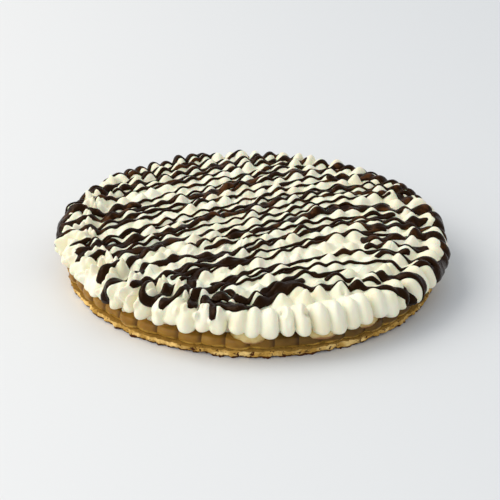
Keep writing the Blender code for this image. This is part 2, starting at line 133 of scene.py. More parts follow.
class Finish(Shade):
    """A finish being made: a material with one Principled shader, patterned by place."""

    def __init__(self, name, **constants):
        self.material = bpy.data.materials.new(name)
        self.material.use_nodes = True
        super().__init__(self.material.node_tree)
        self.shader = self.tree.nodes["Principled BSDF"]
        self.place = self.node("TexCoord", {}, {}, output="Object")
        for inlet, value in constants.items():
            self.set(inlet.replace("_", " "), value)

    def set(self, inlet, value):
        """Fills one socket of the shader."""
        self.fill(self.shader.inputs[inlet], value)

    def noise(self, size, detail=3.0, roughness=0.55):
        """Soft random patches about as large as size, mostly between 0.3 and 0.7."""
        return self.node("TexNoise", {}, {"Vector": self.place, "Scale": 1 / size, "Detail": detail,
                                          "Roughness": roughness})

    def along(self, axis):
        """Where a point lies along the X, Y or Z axis, in metres."""
        return self.node("SeparateXYZ", {}, {0: self.place}, output=axis)

    def relief(self, pattern, depth):
        """Raises the surface by depth where the pattern is 1."""
        self.set("Normal", self.node("Bump", {}, {"Distance": depth, "Height": pattern}))


def solid(name, points, quads, caps=()):
    """A smooth closed mesh object: points (n, 3), quads (m, 4), and flat caps as index rings."""
    corners = np.concatenate([quads.ravel(), *caps]).astype(np.int32)
    sizes = np.concatenate([np.full(len(quads), 4), [len(cap) for cap in caps]]).astype(np.int32)
    mesh = bpy.data.meshes.new(name)
    mesh.vertices.add(len(points))
    mesh.vertices.foreach_set("co", points.astype(np.float32).ravel())
    mesh.loops.add(len(corners))
    mesh.loops.foreach_set("vertex_index", corners)
    mesh.polygons.add(len(sizes))
    mesh.polygons.foreach_set("loop_start", np.cumsum(sizes, dtype=np.int32) - sizes)
    mesh.update(calc_edges=True)
    mesh.shade_smooth()
    return bpy.data.objects.new(name, mesh)


def grid_quads(index, close_rows=False):
    """Quads of a grid of point indices (rows, columns) whose columns run round and close. With
    close_rows the last row joins the first as well."""
    lower = index if close_rows else index[:-1]
    upper = np.roll(index, -1, axis=0) if close_rows else index[1:]
    return np.stack((lower, np.roll(lower, -1, 1), np.roll(upper, -1, 1), upper), -1).reshape(-1, 4)


def turned(name, points):
    """A closed object from rings of points (rows, columns, 3) going up, capped flat at both ends."""
    rows, columns = points.shape[:2]
    index = np.arange(rows * columns).reshape(rows, columns)
    return solid(name, points.reshape(-1, 3), grid_quads(index), (index[0][::-1], index[-1]))


def lumps(turn, along, size, radius, seed):
    """Smooth random relief from -1 to 1 round the pie: random values on a lattice of that size,
    eased between its corners. turn goes from 0 to 1 round the pie, along is in metres."""
    columns = round(2 * math.pi * radius / size)
    lattice = np.random.default_rng(seed).uniform(-1, 1, (LATTICE_ROWS, columns))
    x, y = turn * columns, along / size
    column, row = np.floor(x).astype(int), np.floor(y).astype(int)
    u, v = x - column, y - row
    u, v = u * u * (3 - 2 * u), v * v * (3 - 2 * v)
    here, beside = column % columns, (column + 1) % columns
    near, far = [lattice[level % LATTICE_ROWS, here] * (1 - u) + lattice[level % LATTICE_ROWS, beside] * u
                 for level in (row, row + 1)]
    return near * (1 - v) + far * v


def dress(piece, finish, slot, *nodes):
    """Puts a piece on the pie in its finish, in place of the nodes that it stands for."""
    piece.data.materials.append(finish.material)
    bpy.context.scene.collection.objects.link(piece)
    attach(piece, "root")
    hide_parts(*nodes)


def ring(radius, angle, height):
    """Points at a radius, angle and height, as one array."""
    return np.stack(np.broadcast_arrays(radius * np.cos(angle), radius * np.sin(angle), height), -1)


def front_growth(turn):
    """How much further out the lower layers reach at a share of a turn round the pie: most on the
    front side, and down to nothing a quarter turn away by a squared cosine."""
    return FRONT_GROWTH * np.clip(np.cos(2 * math.pi * turn - FRONT_SIDE), 0, 1) ** 2


def base_points():
    """Rings up the side: the radius swells and shrinks by three sizes of lumps and draws in at
    the foot, the top edge rises and falls, and a last ring lies further in on the top."""
    level = np.linspace(0, 1, BASE_ROWS)[:, None]
    turn = (np.arange(BASE_COLUMNS) / BASE_COLUMNS)[None, :]
    along = level * BASE_TOP
    stand = sum(depth * lumps(turn, along, size, BASE_RADIUS, SEED + 20 + index)
                for index, (size, depth) in enumerate(zip(CRUMB_SIZES, CRUMB_RELIEFS)))
    foot = BASE_FOOT * (1 + FOOT_WAVER * lumps(turn, 0 * turn, FOOT_LUMPS, BASE_RADIUS, SEED + 25))
    radius = BASE_RADIUS + front_growth(turn) + stand - foot * (1 - level) ** 3
    edge = EDGE_RELIEF * lumps(turn, 0 * turn, EDGE_LUMPS, BASE_RADIUS, SEED + 24)
    side = ring(radius, 2 * math.pi * turn, along + level ** 4 * edge)
    inner = ring(BASE_RADIUS - TOP_INSET, 2 * math.pi * turn, BASE_TOP)
    return np.concatenate((side, inner))


biscuit = Finish("baked_biscuit", Roughness=0.85, Specular_IOR_Level=0.15)
height = biscuit.along("Z")
left = biscuit.along("X").between(*LEFT_FADE)
crumb = biscuit.noise(size=0.0021, detail=5.0, roughness=0.65)
patch = biscuit.noise(size=0.012, detail=2.0).between(0.40, 0.62)
# Painted light: the pale colour turns paler still on the left, towards the lamps
colour = patch.paint(BISCUIT_GOLD, left.paint(BISCUIT_PALE, BISCUIT_LIT))
# Painted shade: dark brown in the gaps between the crumbs and in a band at the foot
crack_shade = biscuit.noise(size=0.0042, detail=4.0, roughness=0.7).between(0.45, 0.36)
foot = (height + FOOT_WANDER * biscuit.noise(size=0.0045)).between(*FOOT_SHADE_HEIGHTS)
crumbs_and_shade = (crack_shade + foot).between(0.0, 0.9).paint(colour, BISCUIT_PAINTED_SHADE)
smeared = (height + SMEAR_WANDER * biscuit.noise(size=0.006)).between(*SMEAR_HEIGHTS)
biscuit.set("Base Color", smeared.paint(crumbs_and_shade, left.paint(BISCUIT_STAINED, BISCUIT_SMEARED)))
biscuit.relief(crumb, depth=0.0012)

dress(turned("pressed_biscuit", base_points()), biscuit, "biscuit", "biscuit_base")


# Caramel
# Condensed milk caramel, set firm on the biscuit. Its side kept the shallow folds of the strip
# that it was set in, and it is glossy and a little see-through.
# Painted light and shade lie on its side: each fold is paler on its left and darker on its right.
CARAMEL_LOW, CARAMEL_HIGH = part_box("caramel_layer")
CARAMEL_RADIUS = 0.1362
CARAMEL_BULGE = 0.0014            # the soft side swells between its edges
BULGE_POWER = 0.8                 # less than 1 makes the swell, or a fold, fuller
FLUTES = 52
FLUTE_DEPTH = 0.0024
FLUTE_SHARES = (0.3, 1.6)         # the folds are this deep, against that depth
FLUTE_POWER = 0.6
CARAMEL_RELIEF = 0.0003           # soft lumps of this height and size lie over the side, whose
CARAMEL_LUMPS = 0.005             # height counts as this much in their pattern
CARAMEL_CLIMB = 0.01
CARAMEL_COLUMNS = 1200
CARAMEL_ROWS = 13
CARAMEL_PALE_AND_HIGHLIGHT = (0.360, 0.185, 0.026)
CARAMEL_BROWN = (0.250, 0.118, 0.013)
CARAMEL_FOLD_SHADE = (0.120, 0.052, 0.006)
CARAMEL_GOLD = (0.60, 0.35, 0.060)
# Painted shade: the caramel is darker on the right of the pie, away from the lamps
CARAMEL_SHADED_SHARE = 0.40              # the right side is this bright, against the left,
RIGHT_SHADE_FADE = (-0.035, 0.045)      # and turns darker between these X
FOLD_HIGHLIGHT_SPAN = (0.5, 0.15)          # across each fold, from 0 to 1, its painted highlight comes in here
FOLD_SHADE_SPAN = (0.72, 1.0)           # and its painted shade here
CLOUD_SHARE = 0.6                 # random soft clouds give this share of the paleness, the painted highlight on the folds the rest
GOLD_HEIGHTS = (0.0103, 0.0076)   # golden spots at the lower edge come in between these Z
GOLD_WANDER = 0.001


def caramel_points():
    """Rings up the side: it swells between its edges, each fold is half a sine wave across, and
    the last ring lies on the top, under the cream."""
    level = np.linspace(0, 1, CARAMEL_ROWS)[:, None]
    turn = (np.arange(CARAMEL_COLUMNS) / CARAMEL_COLUMNS)[None, :]
    depths = FLUTE_DEPTH * np.random.default_rng(SEED + 4).uniform(*FLUTE_SHARES, FLUTES)
    across = turn * FLUTES
    fold = depths[across.astype(int) % FLUTES] * np.sin(math.pi * (across % 1)) ** FLUTE_POWER
    soft = CARAMEL_RELIEF * lumps(turn, level * CARAMEL_CLIMB, CARAMEL_LUMPS, CARAMEL_RADIUS, SEED + 30)
    bulge = CARAMEL_BULGE * np.sin(math.pi * level) ** BULGE_POWER
    radius = CARAMEL_RADIUS + front_growth(turn) + bulge + fold + soft
    height = CARAMEL_LOW.z + (CARAMEL_HIGH.z - CARAMEL_LOW.z) * level
    side = ring(radius, 2 * math.pi * turn, height)
    inner = ring(CARAMEL_RADIUS - TOP_INSET, 2 * math.pi * turn, CARAMEL_HIGH.z)
    return np.concatenate((side, inner))


caramel = Finish("set_caramel", Roughness=0.38, Specular_IOR_Level=0.18, Subsurface_Weight=0.15,
                 Subsurface_Scale=0.004)
height = caramel.along("Z")
cloud = caramel.noise(size=0.014).between(0.38, 0.62)
# Painted shade: each colour has a darker copy for the right of the pie
right = caramel.along("X").between(*RIGHT_SHADE_FADE)
dark, brown, light = [right.paint(tone, tuple(CARAMEL_SHADED_SHARE * part for part in tone))
                      for tone in (CARAMEL_FOLD_SHADE, CARAMEL_BROWN, CARAMEL_PALE_AND_HIGHLIGHT)]
# Painted light and shade across each fold: paler on its left, towards the lamps, darker on its right
angle = caramel.maths("ARCTAN2", caramel.along("Y"), caramel.along("X"))
panel = caramel.maths("FRACT", angle * (FLUTES / (2 * math.pi)), 0)
pale_and_lit = cloud * CLOUD_SHARE + panel.between(*FOLD_HIGHLIGHT_SPAN) * (1 - CLOUD_SHARE)
colour = panel.between(*FOLD_SHADE_SPAN).paint(pale_and_lit.paint(brown, light), dark)
mottle = caramel.noise(size=0.004).between(0.30, 0.55)
low_gold = (height + GOLD_WANDER * cloud).between(*GOLD_HEIGHTS) * mottle
caramel.set("Base Color", low_gold.paint(colour, CARAMEL_GOLD))
caramel.relief(caramel.noise(size=0.006, detail=2.0), depth=0.0006)

dress(turned("set_caramel", caramel_points()), caramel, "caramel", "caramel_layer")


# Banana slices
# Round slices about 9 mm thick, laid flat on the caramel side by side. At the rim they show
# under the cream: pale yellow flesh that turns brown towards its lower edge.
SLICE_COUNT = 9
SLICE_COLUMNS = 96
SLICE_EDGE = 0.0016               # radius of the rounded edges, each in this many rings
EDGE_RINGS = 6
SLICE_CORNERS = 3                 # soft corners, by which the radius wavers by these shares
SLICE_WAVERS = (0.008, 0.025)
BANANA_PALE = (0.66, 0.53, 0.23)
BANANA_DEEP = (0.55, 0.36, 0.10)
BANANA_BROWN = (0.27, 0.10, 0.022)
BROWN_HEIGHTS = (0.0172, 0.0148)  # brown comes in between these Z, which wander by this
BROWN_WANDER = 0.004


def slice_points(low, high, seed):
    """Rings from the underside round the rim to the top: a rounded edge, and a rim whose radius
    wavers in three soft corners."""
    centre = (low + high) / 2
    radius = min(high.x - low.x, high.y - low.y) / 2
    rng = np.random.default_rng(seed)
    phase, waver = rng.uniform(0, 2 * math.pi), rng.uniform(*SLICE_WAVERS)
    angle = np.linspace(0, 2 * math.pi, SLICE_COLUMNS, endpoint=False)[None, :]
    bend = np.linspace(0, math.pi / 2, EDGE_RINGS)
    inset = np.concatenate((1 - np.sin(bend), 1 - np.cos(bend)))[:, None] * SLICE_EDGE
    rise = np.concatenate((1 - np.cos(bend), np.sin(bend)))[:, None] * SLICE_EDGE
    rise[EDGE_RINGS:] += high.z - low.z - SLICE_EDGE
    reach = radius * (1 - waver + waver * np.cos(SLICE_CORNERS * angle + phase)) - inset
    points = ring(reach, angle, low.z + rise)
    return points + np.array((centre.x, centre.y, 0))


banana = Finish("banana_flesh", Roughness=0.42, Subsurface_Weight=0.2, Subsurface_Scale=0.003)
wandering_height = banana.along("Z") + BROWN_WANDER * banana.noise(size=0.006)
flesh = banana.noise(size=0.008).between(0.35, 0.65).paint(BANANA_PALE, BANANA_DEEP)
banana.set("Base Color", wandering_height.between(*BROWN_HEIGHTS).paint(flesh, BANANA_BROWN))
banana.relief(banana.noise(size=0.0012, detail=2.0), depth=0.0003)

for number in range(1, SLICE_COUNT + 1):
    node = f"banana_slice_{number}"
    piece = turned(f"banana_{number}", slice_points(*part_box(node), SEED + 40 + number))
    dress(piece, banana, "banana", node)


# Whipped cream
# Stiff cream piped from a plain nozzle: rings of small kisses over a low bed, and round the rim
# a last ring pulled down over the side. Under the strokes of chocolate the tips are pressed soft.
CREAM_BOTTOM = 0.0148
BED_FLAT_RADIUS = 0.128           # the bed: a low dome, a round shoulder and an upright side
SHOULDER_RADIUS = 0.0115
SHOULDER_CENTRE_HEIGHT = 0.020
DOME_RISE = 0.0015
SHOULDER_END = BED_FLAT_RADIUS + SHOULDER_RADIUS * math.pi / 2
BED_EDGE = SHOULDER_END + SHOULDER_CENTRE_HEIGHT - CREAM_BOTTOM
KISS_PITCH = 0.0135
KISS_RINGS = 9
RING_GROWTH = 6                   # each ring has this many kisses more than the one inside it
KISS_HEIGHT = 0.0102
KISS_HEIGHT_SHARES = (0.66, 1.06)
KISS_RADIUS = 0.0108
KISS_RADIUS_SHARES = (0.82, 1.12)
KISS_SCATTER = 0.0022
KISS_LEAN = 0.0020
MOUND_SHARE = 0.55                # a kiss is part soft mound, part cone
CONE_FULLNESS = 1.4               # 1 gives straight flanks, more gives rounder ones
TALL_SIDE = math.radians(-55)     # round here the kisses of the last inner ring are taller
TALL_GROWTH = 0.20
OUTER_SLIMNESS = 0.86
FILL = 0.0034                     # cream between the inner kisses, over the bed
FILL_END = 0.1220
FILL_FADE = 0.0120
UNION_POWER = 4                   # higher gives sharper creases between kisses
NEARBY = 1.3                      # a kiss is worked out up to this share of its size away
RIM_RING = 0.1350
RIM_KISSES = 77
RIM_SHIFT = 0.2                   # they stand off their even places by up to this share
RIM_HEIGHT = 0.0120
RIM_HEIGHT_SHARES = (0.86, 1.06)
RIM_HALF_WIDTH = 0.0064
RIM_WIDTH_SHARES = (0.84, 1.16)
RIM_CONE_RADIUS = 0.0085
RIM_DROP = 0.0158
RIM_DROP_SHARES = (0.74, 1.09)
RIM_SWAY = 0.0022                 # the rim kisses hang a little askew
TIP_FULLNESS = 0.66               # height of a rim kiss's tip, against the kiss's
BULB_FULLNESS = 0.90
BULB_SEAT = 0.44                  # the hanging bulb's middle, as a share of the way down
BULB_RISE = 0.0105                # from its middle up to its upper end
BULB_STRAIGHT = 0.35              # this share of the bulb is as wide as its middle
BULB_FLATNESS = 2.6               # powers of its profile
BULB_ROUNDING = 0.62
SOFT_SIDE = math.radians(205)     # round here the rim kisses are small and hang less
SOFT_NARROWING = 0.12
SOFT_SHORTENING = 0.20
SOFT_LOWERING = 0.22
LUMP_SIZES = (0.0075, 0.0032)     # small lumps all over
LUMP_RELIEFS = (0.00085, 0.00035)
LUMP_START = 0.05                 # they fade out towards the middle from this radius
SOFT_LUMPINESS = 0.9              # on the soft side they are up to this share higher
MILLIMETRE = 0.001
# Small holes that were left between kisses, in millimetres
PITS = ((21, -134), (36, -132), (38, -132), (-140, -28), (-115, -74), (-128, -12), (64, -108))
PIT_DEPTH = 0.0060
PIT_RADIUS = 0.0016
DABS = 210                        # small dabs of cream round the soft side
DAB_SPREAD = 1.25                 # as an angle to both sides
DAB_CROWDING = (0.4, 1)           # shares of it, which draw them to the middle
DAB_REACH = (0.1200, 0.1425)
DAB_RADII = (0.0036, 0.0058)
DAB_HEIGHTS = (0.0100, 0.0132)
TIP_SOFTNESS = 0.0017             # rounds the tips
RETREAT = 0.0062                  # the cream draws in between the feet of the rim kisses
RETREAT_START = 0.1400
RETREAT_LENGTH = 0.0070
BARE_HEIGHT = 0.0035              # where it lies lower than this over the bed
TOP_GRID = 308                    # squares along one side of the top's grid
SEAM_RADIUS = 0.1100              # where the top and the rim meet
TOP_CORNER = -3 * math.pi / 4     # azimuth at which the top's edge starts
RIM_ROWS = 66
MAP_HALF = 0.1600                 # half the side of the square maps of relief
MAP_STEP = 0.0008
PRESS_REACH = 0.0017              # the strokes even out the cream over this distance, and fully
PRESS_GAIN = 1.8                  # where they cover it by a share of 1 / PRESS_GAIN or more
CREAM_LIGHT = (0.87, 0.84, 0.66)
CREAM_WARM = (0.84, 0.79, 0.57)

# The chocolate's lines and widths, which the cream under them needs too
STROKE_STEP = 0.001               # between the points of an unrolled centre line
FIRST_STROKE = 5                  # counted from the front, where runs lie in place of the others
LAST_STROKE = 31
FRONT_STROKE = -0.145             # where stroke 0 would cross the middle line
STROKE_SPACING = 0.0106
CROSSING_SCATTER = 0.38           # as a share of the spacing
STROKE_SLOPE = 0.68               # rise to the back per length to the right
SLOPE_SCATTER = 0.06
BEND_START = 0.030                # the strokes turn flat to the right of this,
STROKE_BEND = 8.0                 # by this loss of slope for each metre
BEND_SHARES = (0.75, 1.25)
SWAYS = (0.0006, 0.0022)
SWAY_LENGTHS = (0.010, 0.020)
LEFT_REACHES = (0.125, 0.137)     # from the middle of the pie to a stroke's ends
RIGHT_REACHES = (0.132, 0.146)
SHORTEST_STROKE = 20              # in points along it; shorter ones are left out
THICK_STROKES = (12, 16, 21, 26)
THICK_WIDTH = 0.0054
THIN_WIDTHS = (0.0020, 0.0037)
HOOK_LENGTH = 0.020               # both ends of a stroke bend to the front over this length
LEFT_HOOK = 28.0
LEFT_HOOK_LOSS = 0.85             # for the strokes at the back
RIGHT_HOOKS = (2.0, 14.0)
LEFT_GAIN = 0.014                 # strokes at the back start further out
LEFT_GAIN_OVER = 0.090
FAN_BACK = 0.014                  # in front of it the strokes are short: the runs below lie at
FAN_STARTS = (-0.070, -0.012)     # both their ends
FAN_STOP = 0.124                  # those that start further left stop further left, by a share
FAN_STOP_SHARE = 0.4
STRAND_LINES = 7                  # lines side by side that a strand covers
WAVER = 0.20                      # its width wavers by this share in two waves of these lengths
WAVER_LENGTHS = ((0.007, 0.011), (0.020, 0.030))
WAVER_SHIFT = 6.0                 # radians by which a wave may be shifted
END_BLUNTNESS = 0.0003            # keeps its ends from closing to a point
END_SWELL = 0.35                  # it is wider near its ends, over this length
END_SWELL_LENGTH = 0.012
SIDE_SWELL = 0.08                 # and the swung ones at the left, where they start
# Strands with a shape of their own: width, and corners in the unrolled plane, in millimetres
RUNS = (
    (6.0, (-134, -28), (-140, -18), (-143, -5), (-141, 8), (-136, 17), (-130, 21), (-125, 15),
     (-121, 9), (-114, 11), (-107, 20), (-98, 24), (-86, 29)),
    (5.4, (-143, 24), (-141, 34), (-137, 43), (-130, 52), (-118, 57), (-104, 62), (-90, 70)),
    (4.6, (-120, -65), (-117, -54), (-111, -45), (-106, -38), (-99, -36), (-91, -41), (-83, -35),
     (-73, -27), (-62, -22), (-50, -12)),
    (6.8, (-99, -61), (-94, -53), (-85, -51), (-73, -45), (-63, -36), (-48, -30), (-37, -24),
     (-27, -21)),
    (7.0, (-105, -90), (-100, -84), (-92, -76), (-86, -66), (-77, -58), (-71, -50), (-63, -42)),
    (5.6, (-80, -87), (-78, -80), (-76, -72), (-71, -71), (-62, -70), (-56, -62), (-44, -62),
     (-30, -59), (-14, -56)),
    (6.0, (-107, -106), (-101, -103), (-93, -99), (-87, -94), (-82, -87), (-77, -80)),
    (5.6, (-80, -108), (-73, -99), (-64, -94), (-58, -87), (-49, -87), (-43, -79), (-34, -76),
     (-23, -72), (-12, -71), (-2, -64)),
    (4.4, (-65, -95), (-69, -105), (-73, -112), (-70, -119), (-63, -120), (-58, -112), (-51, -101)),
    (5.0, (-60, -124), (-51, -122), (-44, -115), (-41, -106), (-42, -95), (-37, -85), (-31, -77)),
    (5.2, (-38, -130), (-40, -125), (-38, -118), (-35, -110), (-27, -107), (-18, -100), (-8, -88),
     (2, -81)),
    (6.2, (-34, -124), (-26, -127), (-17, -131), (-8, -134), (1, -130), (9, -125), (16, -116),
     (24, -107), (33, -100)),
    (4.2, (24, -109), (33, -103), (45, -106), (54, -100), (62, -102), (72, -101), (84, -101),
     (96, -98), (104, -95), (112, -93)),
    (6.4, (103, -95), (110, -93), (116, -92), (121, -95), (124, -101)),
    (4.6, (-27, -119), (-17, -123), (-7, -126), (3, -121), (13, -112), (21, -103), (29, -96),
     (38, -93)),
    (4.6, (-27, -124), (-25, -131), (-24, -138)),
    (3.4, (-24, -118), (-18, -112), (-11, -116), (-10, -125)),
    (3.4, (4, -119), (12, -107), (21, -98), (31, -89), (43, -83), (47, -87), (54, -84), (61, -78),
     (72, -76)),
    (6.2, (84, -84), (90, -81), (97, -86), (104, -81), (112, -79), (119, -80), (123, -88)),
    (5.4, (90, -55), (97, -50), (106, -46), (112, -51), (118, -56), (126, -53), (134, -54)),
    (4.8, (98, -64), (106, -68), (113, -68), (120, -62), (128, -58)),
    (4.2, (83, -41), (92, -37), (102, -31), (109, -37), (118, -38), (128, -36)),
    (7.8, (81, -28), (91, -25), (101, -25), (109, -26), (117, -21), (123, -15), (130, -13),
     (137, -17), (140, -26), (139, -37), (136, -47), (132, -56), (130, -64)),
    (5.2, (72, 1), (81, 0), (88, -8), (98, -7), (105, -2), (114, 1), (124, 0), (134, 2)),
    (5.0, (90, 0), (98, 6), (108, 8), (115, 6), (123, 9), (132, 13)),
    (7.6, (58, 20), (66, 25), (77, 30), (91, 29), (103, 29), (112, 27), (118, 31), (125, 34),
     (132, 30), (137, 20), (140, 8), (141, -3)),
    (2.8, (20, -86), (32, -79), (44, -73), (56, -71), (65, -68), (74, -63), (84, -66), (93, -61),
     (102, -57)),
    (2.4, (-50, -100), (-42, -91), (-34, -86), (-25, -80), (-15, -73), (-5, -67), (8, -61)),
    (2.3, (-21, -109), (-13, -103), (-4, -99), (4, -91), (14, -85), (26, -80), (38, -75), (50, -73)),
    (3.2, (52, -93), (60, -90), (68, -93), (76, -88), (84, -90), (92, -92)),
    (5.4, (60, 84), (76, 93), (90, 96), (106, 88), (118, 72), (128, 50)),
    (5.0, (78, 56), (84, 63), (90, 58), (99, 62), (108, 65), (116, 58), (121, 46)),
)


def kiss_layout():
    """Centres in the unrolled plane, heights, radii and leans of the inner kisses: even rings
    round a middle one, each turned and every centre shifted at random."""
    rng = np.random.default_rng(SEED)
    rings = [np.zeros((1, 2))]
    for number in range(1, KISS_RINGS + 1):
        count = RING_GROWTH * number
        angles = rng.uniform(0, 2 * math.pi) + 2 * math.pi * np.arange(count) / count
        rings.append(KISS_PITCH * number * np.column_stack((np.cos(angles), np.sin(angles))))
    centres = np.vstack(rings)
    centres += rng.uniform(-KISS_SCATTER, KISS_SCATTER, centres.shape)
    heights = KISS_HEIGHT * rng.uniform(*KISS_HEIGHT_SHARES, len(centres))
    radii = KISS_RADIUS * rng.uniform(*KISS_RADIUS_SHARES, len(centres))
    leans = rng.uniform(-KISS_LEAN, KISS_LEAN, centres.shape)
    outer = centres[-count:]
    tall = np.clip(np.cos(np.arctan2(outer[:, 1], outer[:, 0]) - TALL_SIDE), 0, 1)
    heights[-count:] *= 1 + TALL_GROWTH * tall
    radii[-count:] *= OUTER_SLIMNESS
    return centres, heights, radii, leans


def rim_layout():
    """Azimuths, heights, half widths, hangs and sideways shifts of the rim kisses: even places
    shifted at random, and sizes that shrink by a squared cosine towards the soft side."""
    rng = np.random.default_rng(SEED + 1)
    step = 2 * math.pi / RIM_KISSES
    azimuths = step * (np.arange(RIM_KISSES) + rng.uniform(-RIM_SHIFT, RIM_SHIFT, RIM_KISSES))
    soft = np.clip(np.cos(azimuths - SOFT_SIDE), 0, 1) ** 2
    heights = RIM_HEIGHT * rng.uniform(*RIM_HEIGHT_SHARES, RIM_KISSES) * (1 - SOFT_LOWERING * soft)
    widths = RIM_HALF_WIDTH * rng.uniform(*RIM_WIDTH_SHARES, RIM_KISSES) * (1 - SOFT_NARROWING * soft)
    drops = RIM_DROP * rng.uniform(*RIM_DROP_SHARES, RIM_KISSES) * (1 - SOFT_SHORTENING * soft)
    sways = rng.uniform(-RIM_SWAY, RIM_SWAY, RIM_KISSES)
    return azimuths, heights, widths, drops, sways


def dab_layout():
    """Centres in the unrolled plane, heights and radii of the dabs, thrown over an arc of the rim
    that is most crowded at the middle of the soft side."""
    rng = np.random.default_rng(SEED + 6)
    angles = SOFT_SIDE + DAB_SPREAD * rng.uniform(-1, 1, DABS) * rng.uniform(*DAB_CROWDING, DABS)
    reach = rng.uniform(*DAB_REACH, DABS)
    centres = np.column_stack((reach * np.cos(angles), reach * np.sin(angles)))
    return centres, rng.uniform(*DAB_HEIGHTS, DABS), rng.uniform(*DAB_RADII, DABS)


def stroke_paths():
    """Unrolled centre lines of the strokes, a point each millimetre: shallow arcs that sway, with
    both ends bent to the front. Those at the back reach further out on the left, and those at the
    front begin near the middle."""
    rng = np.random.default_rng(SEED + 2)
    x = np.arange(-BED_EDGE, BED_EDGE, STROKE_STEP)
    paths = []
    for index in range(FIRST_STROKE, LAST_STROKE + 1):
        shift = rng.uniform(-CROSSING_SCATTER, CROSSING_SCATTER)
        crossing = FRONT_STROKE + STROKE_SPACING * (index + shift)
        slope = STROKE_SLOPE + rng.uniform(-SLOPE_SCATTER, SLOPE_SCATTER)
        bend = STROKE_BEND * rng.uniform(*BEND_SHARES)
        sway, length = rng.uniform(*SWAYS), rng.uniform(*SWAY_LENGTHS)
        phase = rng.uniform(0, 2 * math.pi)
        y = crossing + slope * x - bend * np.clip(x - BEND_START, 0, None) ** 2 / 2
        y += sway * np.sin(x / length + phase)
        backward = np.clip(crossing / LEFT_GAIN_OVER, 0, 1)
        start, stop = -BED_EDGE, BED_EDGE
        if crossing < FAN_BACK:
            start = rng.uniform(*FAN_STARTS)
            stop = FAN_STOP + FAN_STOP_SHARE * start
        left = rng.uniform(*LEFT_REACHES) + LEFT_GAIN * backward
        reach = np.where(x < 0, left, rng.uniform(*RIGHT_REACHES))
        left_hook = LEFT_HOOK * rng.uniform(0, 1) ** 2 * (1 - LEFT_HOOK_LOSS * backward)
        hook = np.where(x < 0, left_hook, rng.uniform(*RIGHT_HOOKS))
        y -= hook * np.clip(np.hypot(x, y) - reach + HOOK_LENGTH, 0, HOOK_LENGTH) ** 2
        inside = (np.hypot(x, y) < reach) & (x > start) & (x < stop)
        paths.append(np.column_stack((x, y))[inside])
    return paths


def smooth_run(corners):
    """A run along its corner points, a point each millimetre: three times over, each corner is cut
    off a quarter of the way along both its sides."""
    points = MILLIMETRE * np.array(corners)
    for _ in range(3):
        cut = np.repeat(points, 2, axis=0)[1:-1]
        cut[0::2] = 0.75 * points[:-1] + 0.25 * points[1:]
        cut[1::2] = 0.25 * points[:-1] + 0.75 * points[1:]
        points = np.vstack((points[:1], cut, points[-1:]))
    length = np.append(0, np.cumsum(np.hypot(*np.diff(points, axis=0).T)))
    along = np.arange(0, length[-1], STROKE_STEP)
    return np.column_stack([np.interp(along, length, points[:, axis]) for axis in (0, 1)])


def kiss_profile(t):
    """Height of a kiss from its axis (0) to its foot (1): a soft mound, half a cosine wave, mixed
    with a full cone, one less a power of the way out."""
    t = np.clip(t, 0, 1)
    return MOUND_SHARE * (1 + np.cos(math.pi * t)) / 2 + (1 - MOUND_SHARE) * (1 - t ** CONE_FULLNESS)


def bulb_profile(t):
    """Height of a rim kiss's hanging bulb from its middle (0) to its edge (1): one less a power of
    the way out, and a root of that, so it is flat at the middle and steep at the edge."""
    return (1 - np.clip(t, 0, 1) ** BULB_FLATNESS) ** BULB_ROUNDING


def piped_relief(points):
    """Height of the piped cream over its bed at points (n, 2) of the unrolled plane: each kiss
    raised to a power, summed, and the root taken, which leaves creases where kisses meet."""
    rho = np.hypot(points[:, 0], points[:, 1])
    theta = np.arctan2(points[:, 1], points[:, 0])
    total = (FILL * np.clip((FILL_END - rho) / FILL_FADE, 0, 1)) ** UNION_POWER
    for centre, height, radius, lean in zip(*kiss_layout()):
        away = points - centre - lean
        near = np.flatnonzero(np.abs(away).max(axis=1) < NEARBY * radius)
        away = away[near]
        distance = np.sqrt((away ** 2).sum(axis=1) + TIP_SOFTNESS ** 2)
        reach = radius - away @ lean / distance
        total[near] += (height * kiss_profile(distance / reach)) ** UNION_POWER
    for azimuth, height, width, drop, sway in zip(*rim_layout()):
        side = RIM_RING * (np.mod(theta - azimuth + math.pi, 2 * math.pi) - math.pi)
        near = np.flatnonzero((np.abs(side) < NEARBY * width) & (rho > RIM_RING - RIM_CONE_RADIUS))
        side, out = side[near], rho[near] - RIM_RING
        tip = np.sqrt(out ** 2 + side ** 2 + TIP_SOFTNESS ** 2) / RIM_CONE_RADIUS
        fall = out - BULB_SEAT * drop
        reach = np.where(fall > 0, (1 - BULB_SEAT) * drop, BULB_RISE)
        fall = np.clip(np.abs(fall) / reach - BULB_STRAIGHT, 0, None) / (1 - BULB_STRAIGHT)
        bulb = np.hypot(fall, (side - sway * out / drop) / width)
        total[near] += (TIP_FULLNESS * height * kiss_profile(tip)) ** UNION_POWER
        total[near] += (BULB_FULLNESS * height * bulb_profile(bulb)) ** UNION_POWER
    for centre, height, radius in zip(*dab_layout()):
        distance = np.hypot(*(points - centre).T) / radius
        near = np.flatnonzero(distance < 1)
        total[near] += (height * kiss_profile(distance[near])) ** UNION_POWER
    turn = np.mod(theta / (2 * math.pi), 1)
    rough = 1 + SOFT_LUMPINESS * np.clip(np.cos(theta - SOFT_SIDE), 0, 1)
    soft = LUMP_RELIEFS[0] * lumps(turn, rho, LUMP_SIZES[0], RIM_RING, SEED + 50)
    fine = LUMP_RELIEFS[1] * lumps(turn, rho, LUMP_SIZES[1], RIM_RING, SEED + 51)
    pits = sum(np.exp(-((points - MILLIMETRE * np.array(pit)) ** 2).sum(axis=1) / PIT_RADIUS ** 2)
               for pit in PITS)
    piped = total ** (1 / UNION_POWER) + rough * (soft + fine) * np.clip(rho / LUMP_START, 0, 1)
    return piped - PIT_DEPTH * pits


